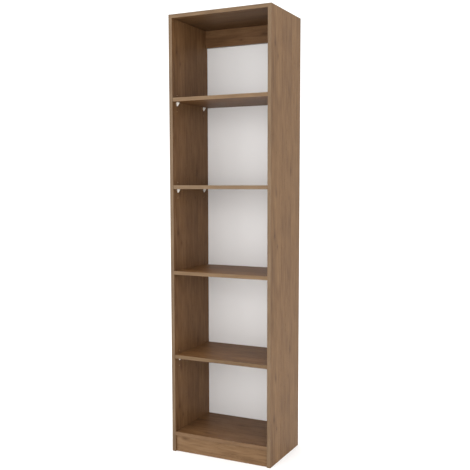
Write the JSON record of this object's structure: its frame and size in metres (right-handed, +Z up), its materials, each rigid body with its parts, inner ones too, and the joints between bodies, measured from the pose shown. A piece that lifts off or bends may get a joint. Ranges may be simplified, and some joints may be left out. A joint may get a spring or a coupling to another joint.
{
  "type": "bookcase with adjustable shelves",
  "caption": "Tall narrow flat-pack bookcase in brown wood-decor board: side panels, top, plinth, white back, fixed and adjustable shelves on plug-in pins.",
  "frame": {"origin": "on the floor, at the middle of the bookcase's width and depth (bottom centre of its box)", "axes": "+Z up, -Y towards the front, +Y towards the wall, +X to the right of someone who faces the front"},
  "size_m": [0.452, 0.297, 1.798],
  "materials": {
    "decor_board": "satin wood-decor foil, medium brown oak, on particle board",
    "edge_strip": "satin wood-decor edge banding",
    "back_board": "white-lacquered hardboard, smooth front, brown rear",
    "pin_plastic": "off-white moulded plastic, slightly glossy",
    "zinc_fitting": "zinc-plated",
    "beech_dowel": "raw beech",
    "nail_steel": "bright steel"
  },
  "bodies": {
    "carcass": {"side_panel_left": "decor_board", "side_panel_right": "decor_board", "top_panel": "decor_board", "middle_shelf": "decor_board", "bottom_shelf": "decor_board", "plinth": "decor_board", "back_rail": "decor_board", "back_panel": "back_board", "edge_strip_side_left": "edge_strip", "edge_strip_side_right": "edge_strip", "edge_strip_top_end_left": "edge_strip", "edge_strip_top_end_right": "edge_strip", "edge_strip_top": "edge_strip", "edge_strip_middle": "edge_strip", "edge_strip_bottom": "edge_strip", "edge_strip_back_rail": "edge_strip", "cam_bolts_top": "zinc_fitting", "dowels_top": "beech_dowel", "cam_locks_top": "zinc_fitting", "cam_bolts_middle": "zinc_fitting", "dowels_middle": "beech_dowel", "cam_locks_middle": "zinc_fitting", "cam_bolts_bottom": "zinc_fitting", "dowels_bottom": "beech_dowel", "cam_locks_bottom": "zinc_fitting", "dowels_plinth": "beech_dowel", "dowels_back_rail": "beech_dowel", "back_panel_nails": "nail_steel"},
    "shelf_upper": {"adjustable_shelf_upper": "decor_board", "edge_strip_shelf_upper": "edge_strip"},
    "shelf_second": {"adjustable_shelf_second": "decor_board", "edge_strip_shelf_second": "edge_strip"},
    "shelf_lower": {"adjustable_shelf_lower": "decor_board", "edge_strip_shelf_lower": "edge_strip"},
    "body_shelf_pin_upper_left_front": {"shelf_pin_upper_left_front": "pin_plastic"},
    "body_shelf_pin_upper_left_rear": {"shelf_pin_upper_left_rear": "pin_plastic"},
    "body_shelf_pin_upper_right_front": {"shelf_pin_upper_right_front": "pin_plastic"},
    "body_shelf_pin_upper_right_rear": {"shelf_pin_upper_right_rear": "pin_plastic"},
    "body_shelf_pin_second_left_front": {"shelf_pin_second_left_front": "pin_plastic"},
    "body_shelf_pin_second_left_rear": {"shelf_pin_second_left_rear": "pin_plastic"},
    "body_shelf_pin_second_right_front": {"shelf_pin_second_right_front": "pin_plastic"},
    "body_shelf_pin_second_right_rear": {"shelf_pin_second_right_rear": "pin_plastic"},
    "body_shelf_pin_lower_left_front": {"shelf_pin_lower_left_front": "pin_plastic"},
    "body_shelf_pin_lower_left_rear": {"shelf_pin_lower_left_rear": "pin_plastic"},
    "body_shelf_pin_lower_right_front": {"shelf_pin_lower_right_front": "pin_plastic"},
    "body_shelf_pin_lower_right_rear": {"shelf_pin_lower_right_rear": "pin_plastic"}
  },
  "joints": [
    {"name": "shelf_upper_pull_out", "type": "slide", "parent": "carcass", "child": "shelf_upper", "axis": [0, -1, 0], "range_m": [0, 0.3]},
    {"name": "shelf_second_pull_out", "type": "slide", "parent": "carcass", "child": "shelf_second", "axis": [0, -1, 0], "range_m": [0, 0.3]},
    {"name": "shelf_lower_pull_out", "type": "slide", "parent": "carcass", "child": "shelf_lower", "axis": [0, -1, 0], "range_m": [0, 0.3]},
    {"name": "pin_upper_left_front_pull", "type": "slide", "parent": "carcass", "child": "body_shelf_pin_upper_left_front", "axis": [1, 0, 0], "range_m": [0, 0.012]},
    {"name": "pin_upper_left_rear_pull", "type": "slide", "parent": "carcass", "child": "body_shelf_pin_upper_left_rear", "axis": [1, 0, 0], "range_m": [0, 0.012]},
    {"name": "pin_upper_right_front_pull", "type": "slide", "parent": "carcass", "child": "body_shelf_pin_upper_right_front", "axis": [-1, 0, 0], "range_m": [0, 0.012]},
    {"name": "pin_upper_right_rear_pull", "type": "slide", "parent": "carcass", "child": "body_shelf_pin_upper_right_rear", "axis": [-1, 0, 0], "range_m": [0, 0.012]},
    {"name": "pin_second_left_front_pull", "type": "slide", "parent": "carcass", "child": "body_shelf_pin_second_left_front", "axis": [1, 0, 0], "range_m": [0, 0.012]},
    {"name": "pin_second_left_rear_pull", "type": "slide", "parent": "carcass", "child": "body_shelf_pin_second_left_rear", "axis": [1, 0, 0], "range_m": [0, 0.012]},
    {"name": "pin_second_right_front_pull", "type": "slide", "parent": "carcass", "child": "body_shelf_pin_second_right_front", "axis": [-1, 0, 0], "range_m": [0, 0.012]},
    {"name": "pin_second_right_rear_pull", "type": "slide", "parent": "carcass", "child": "body_shelf_pin_second_right_rear", "axis": [-1, 0, 0], "range_m": [0, 0.012]},
    {"name": "pin_lower_left_front_pull", "type": "slide", "parent": "carcass", "child": "body_shelf_pin_lower_left_front", "axis": [1, 0, 0], "range_m": [0, 0.012]},
    {"name": "pin_lower_left_rear_pull", "type": "slide", "parent": "carcass", "child": "body_shelf_pin_lower_left_rear", "axis": [1, 0, 0], "range_m": [0, 0.012]},
    {"name": "pin_lower_right_front_pull", "type": "slide", "parent": "carcass", "child": "body_shelf_pin_lower_right_front", "axis": [-1, 0, 0], "range_m": [0, 0.012]},
    {"name": "pin_lower_right_rear_pull", "type": "slide", "parent": "carcass", "child": "body_shelf_pin_lower_right_rear", "axis": [-1, 0, 0], "range_m": [0, 0.012]}
  ]
}
